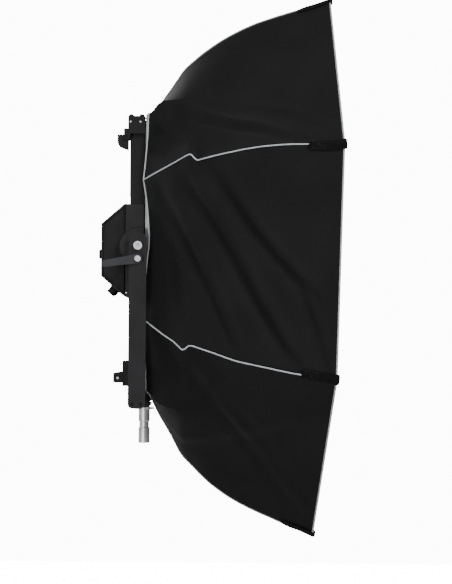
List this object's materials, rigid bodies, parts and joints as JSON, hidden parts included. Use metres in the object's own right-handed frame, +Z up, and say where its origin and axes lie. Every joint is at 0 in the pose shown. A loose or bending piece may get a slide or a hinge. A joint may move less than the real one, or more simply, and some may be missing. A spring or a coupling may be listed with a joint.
{
  "type": "octagonal softbox",
  "caption": "Octagonal fabric softbox with hinged-knuckle ribs on a rectangular LED panel head, hung in a tilting U yoke with a stand pin.",
  "frame": {"origin": "centre of the stand pin's lower end face", "axes": "+X the way the light leaves, +Z up along the pin, +Y to the left as seen from behind the light"},
  "size_m": [0.5802, 1.2934, 1.2934],
  "materials": {
    "cloth": "matt black woven polyester with a fine canvas weave",
    "diffuser_cloth": "translucent white nylon",
    "fibreglass": "dark pultruded rod",
    "bare_aluminium": "satin extrusion",
    "steel": "plated",
    "board": "white solder mask",
    "opal": "opal sheet",
    "black_paint": "satin black powder coat",
    "black_plastic": "fine-grained black moulding"
  },
  "bodies": {
    "yoke": {"stand_pin": "steel", "pin_carriage": "black_paint", "yoke_crossbar": "black_paint", "yoke_arm_right": "black_paint", "yoke_arm_left": "black_paint", "lever_screw": "steel"},
    "head": {"panel_tray": "black_paint", "led_board": "board", "opal_plate": "opal", "front_bezel": "black_paint", "driver_housing": "black_paint", "rear_cover": "black_plastic", "power_inlet": "black_plastic", "data_socket": "black_plastic", "side_cap_right": "black_paint", "side_cap_left": "black_paint", "corner_block_top_right": "black_plastic", "corner_block_top_left": "black_plastic", "corner_block_bottom_right": "black_plastic", "corner_block_bottom_left": "black_plastic", "pivot_bolt_right": "steel", "pivot_bolt_left": "steel", "frame_top": "bare_aluminium", "frame_bottom": "bare_aluminium", "frame_left": "bare_aluminium", "frame_right": "bare_aluminium", "rib_arm_top_right": "black_plastic", "rib_arm_upper_right": "black_plastic", "rib_arm_lower_right": "black_plastic", "rib_arm_bottom_right": "black_plastic", "rib_arm_bottom_left": "black_plastic", "rib_arm_lower_left": "black_plastic", "rib_arm_upper_left": "black_plastic", "rib_arm_top_left": "black_plastic", "rib_rod_top_right": "fibreglass", "rib_rod_upper_right": "fibreglass", "rib_rod_lower_right": "fibreglass", "rib_rod_bottom_right": "fibreglass", "rib_rod_bottom_left": "fibreglass", "rib_rod_lower_left": "fibreglass", "rib_rod_upper_left": "fibreglass", "rib_rod_top_left": "fibreglass", "cloth_top_right": "cloth", "cloth_right": "cloth", "cloth_bottom_right": "cloth", "cloth_bottom": "cloth", "cloth_bottom_left": "cloth", "cloth_left": "cloth", "cloth_top_left": "cloth", "cloth_top": "cloth", "inner_diffuser": "diffuser_cloth", "front_diffuser": "diffuser_cloth"},
    "lever": {"lock_lever": "black_plastic"},
    "knob_1": {"control_knob_1": "black_plastic"},
    "knob_2": {"control_knob_2": "black_plastic"},
    "rocker": {"power_switch": "black_plastic"},
    "latch_right": {"frame_latch_right": "black_plastic"},
    "latch_left": {"frame_latch_left": "black_plastic"}
  },
  "joints": [
    {"name": "head_tilt", "type": "hinge", "parent": "yoke", "child": "head", "pos_m": [-0.004, 0, 0.4793], "axis": [0, -1, 0], "range_deg": [0, 90]},
    {"name": "lever_turn", "type": "hinge", "parent": "yoke", "child": "lever", "pos_m": [-0.004, -0.4465, 0.4483], "axis": [0, -1, 0], "range_deg": [-30, 75]},
    {"name": "knob_1_turn", "type": "hinge", "parent": "head", "child": "knob_1", "pos_m": [-0.098, -0.12, 0.4703], "axis": [-1, 0, 0], "continuous": true},
    {"name": "knob_2_turn", "type": "hinge", "parent": "head", "child": "knob_2", "pos_m": [-0.098, 0.12, 0.4703], "axis": [-1, 0, 0], "continuous": true},
    {"name": "switch_rock", "type": "hinge", "parent": "head", "child": "rocker", "pos_m": [-0.092, 0.205, 0.4703], "axis": [0, 1, 0], "range_deg": [0, 16]},
    {"name": "latch_right_turn", "type": "hinge", "parent": "head", "child": "latch_right", "pos_m": [-0.035, -0.381, 0.7383], "axis": [0, 1, 0], "range_deg": [0, 80]},
    {"name": "latch_left_turn", "type": "hinge", "parent": "head", "child": "latch_left", "pos_m": [-0.035, 0.381, 0.7383], "axis": [0, 1, 0], "range_deg": [0, 80]}
  ]
}
